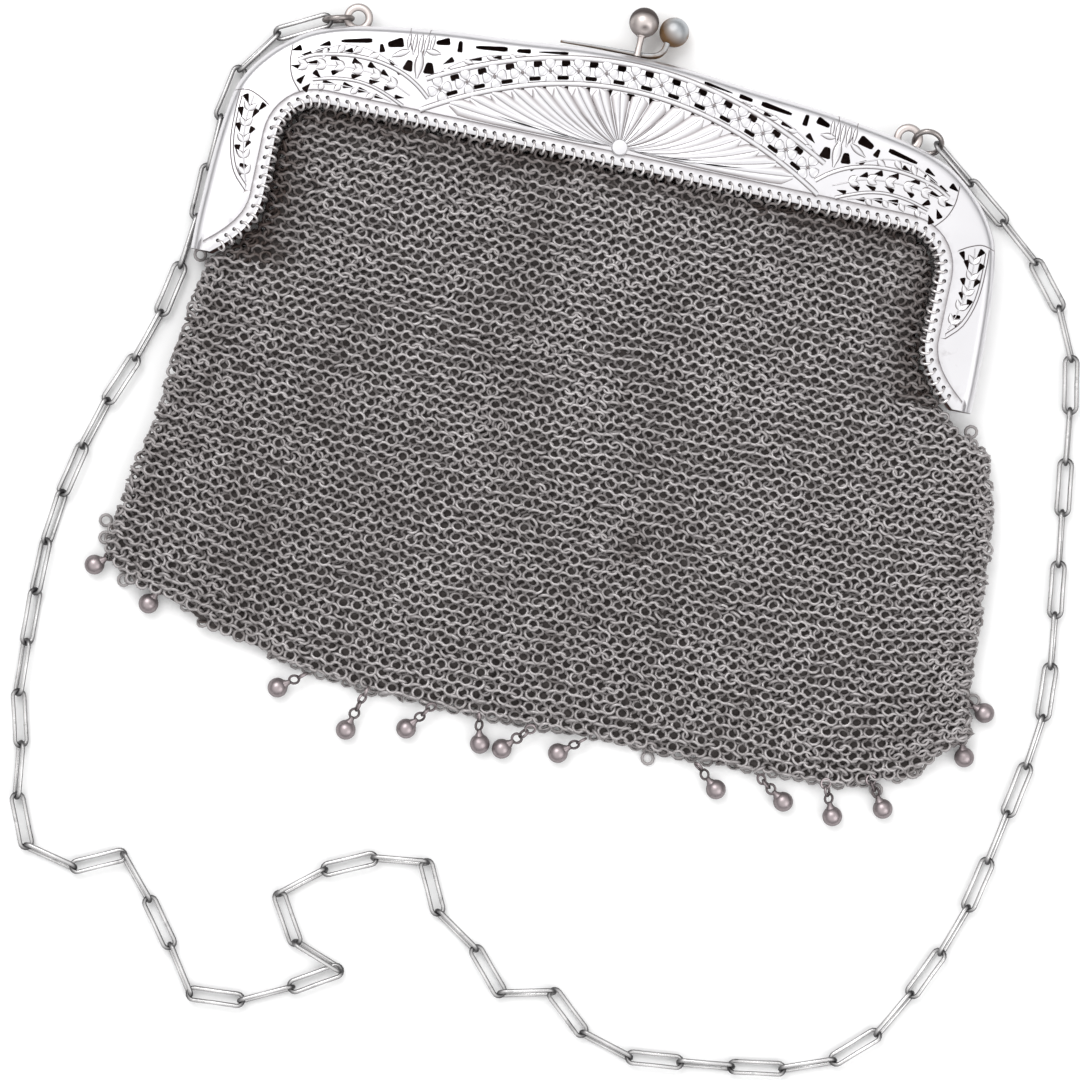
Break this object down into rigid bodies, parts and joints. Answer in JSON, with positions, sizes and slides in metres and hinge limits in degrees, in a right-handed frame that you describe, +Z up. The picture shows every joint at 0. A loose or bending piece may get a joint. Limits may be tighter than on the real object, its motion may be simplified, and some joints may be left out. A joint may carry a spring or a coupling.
{
  "type": "metal mesh purse",
  "caption": "Antique silver evening purse of ring mesh on a pierced, hinged frame with a ball clasp, hanging ball drops and a long link chain, lying closed.",
  "frame": {"origin": "under the middle of the whole purse with its chain, on the surface that it lies on", "axes": "+X to the right along the frame, +Y from the pouch towards the clasp, +Z up from the surface"},
  "size_m": [0.206, 0.2138, 0.0095],
  "materials": {
    "frame_silver": "polished silver, lightly worn",
    "clasp_silver": "polished silver with golden tarnish",
    "mesh_silver": "dull, darkened silver rings",
    "drop_silver": "darkened polished silver",
    "chain_silver": "polished silver with dark joints"
  },
  "bodies": {
    "root": {"frame_front": "frame_silver", "frame_back": "frame_silver", "hinge_pin_left": "frame_silver", "hinge_pin_right": "frame_silver", "clasp_post_ball": "clasp_silver", "clasp_spring_ball": "clasp_silver", "jump_ring_left": "chain_silver", "jump_ring_right": "chain_silver", "mesh_bag": "mesh_silver", "drop_01": "drop_silver", "drop_02": "drop_silver", "drop_03": "drop_silver", "drop_04": "drop_silver", "drop_05": "drop_silver", "drop_06": "drop_silver", "drop_07": "drop_silver", "drop_08": "drop_silver", "drop_09": "drop_silver", "drop_10": "drop_silver", "drop_11": "drop_silver", "drop_12": "drop_silver", "drop_13": "drop_silver", "drop_14": "drop_silver", "chain": "chain_silver"}
  },
  "joints": []
}
